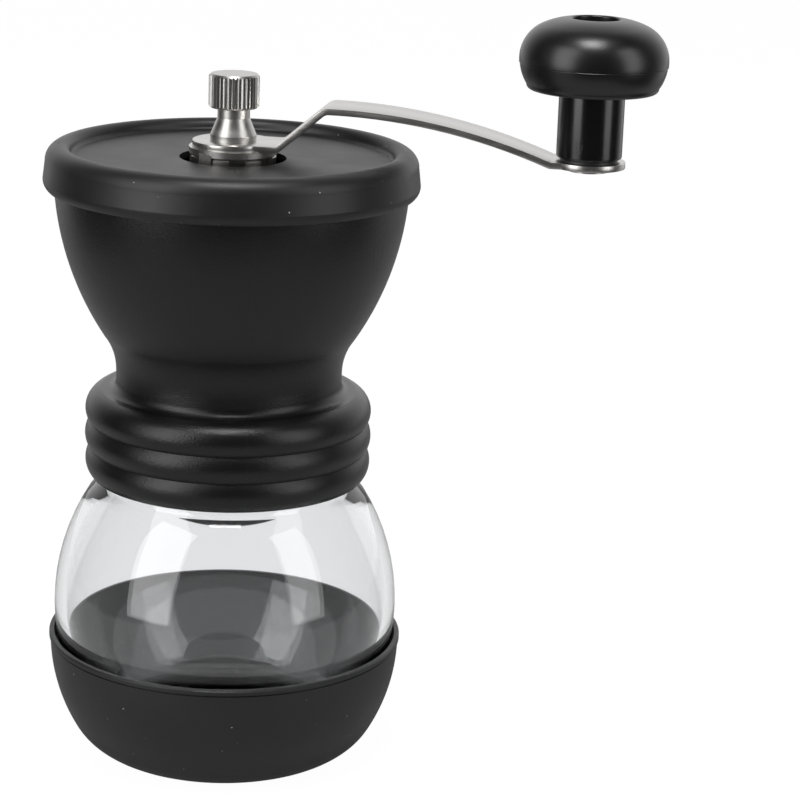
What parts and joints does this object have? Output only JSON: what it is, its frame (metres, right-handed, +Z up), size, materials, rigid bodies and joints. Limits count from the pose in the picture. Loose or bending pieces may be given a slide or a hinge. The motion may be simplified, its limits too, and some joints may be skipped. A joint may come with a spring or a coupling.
{
  "type": "hand crank coffee grinder",
  "caption": "Manual coffee grinder: black bean hopper with a conical ceramic burr set on a glass jar in a soft cup, with a soft lid and a bent steel crank with a turning knob.",
  "frame": {"origin": "middle of the cup's flat underside, on the axis of the shaft", "axes": "+Z up along the shaft, +X from the shaft towards the knob"},
  "size_m": [0.1564, 0.0958, 0.1983],
  "materials": {
    "soft_black": "matte",
    "clear_glass": "clear",
    "grained_black": "fine grain",
    "plain_black": "satin",
    "white_plastic": "satin",
    "white_ceramic": "matte",
    "turned_steel": "turned",
    "stamped_steel": "brushed",
    "gloss_black": "gloss",
    "satin_black": "satin"
  },
  "bodies": {
    "base": {"base_cup": "soft_black"},
    "jar": {"glass_jar": "clear_glass"},
    "hopper": {"hopper_body": "grained_black", "shaft_bridge": "plain_black", "bridge_bush": "white_plastic", "outer_burr": "white_ceramic", "burr_retainer": "plain_black"},
    "lid": {"hopper_lid": "soft_black"},
    "crank": {"drive_shaft": "turned_steel", "spring_washer_upper": "stamped_steel", "burr_spring": "turned_steel", "spring_washer_lower": "stamped_steel", "burr_carrier": "plain_black", "inner_burr": "white_ceramic", "burr_washer": "stamped_steel", "burr_nut": "turned_steel", "adjust_nut": "turned_steel", "lock_ring": "stamped_steel", "crank_arm": "stamped_steel", "knob_axle": "turned_steel", "knob_washer": "plain_black", "knob_screw_washer": "stamped_steel", "knob_screw": "turned_steel"},
    "thumb_nut": {"thumb_nut": "turned_steel"},
    "knob": {"knob_stem": "gloss_black", "knob_dome": "satin_black"}
  },
  "joints": [
    {"name": "jar_lift", "type": "slide", "parent": "base", "child": "jar", "axis": [0, 0, 1], "range_m": [0, 0.04]},
    {"name": "hopper_lift", "type": "slide", "parent": "jar", "child": "hopper", "axis": [0, 0, 1], "range_m": [0, 0.03]},
    {"name": "lid_lift", "type": "slide", "parent": "hopper", "child": "lid", "axis": [0, 0, 1], "range_m": [0, 0.0024]},
    {"name": "crank_turn", "type": "hinge", "parent": "hopper", "child": "crank", "pos_m": [0, 0, 0.158], "axis": [0, 0, 1], "continuous": true},
    {"name": "thumb_nut_turn", "type": "hinge", "parent": "crank", "child": "thumb_nut", "pos_m": [0, 0, 0.17], "axis": [0, 0, 1], "range_deg": [0, 3960]},
    {"name": "knob_spin", "type": "hinge", "parent": "crank", "child": "knob", "pos_m": [0.09, 0, 0.17], "axis": [0, 0, 1], "continuous": true}
  ]
}
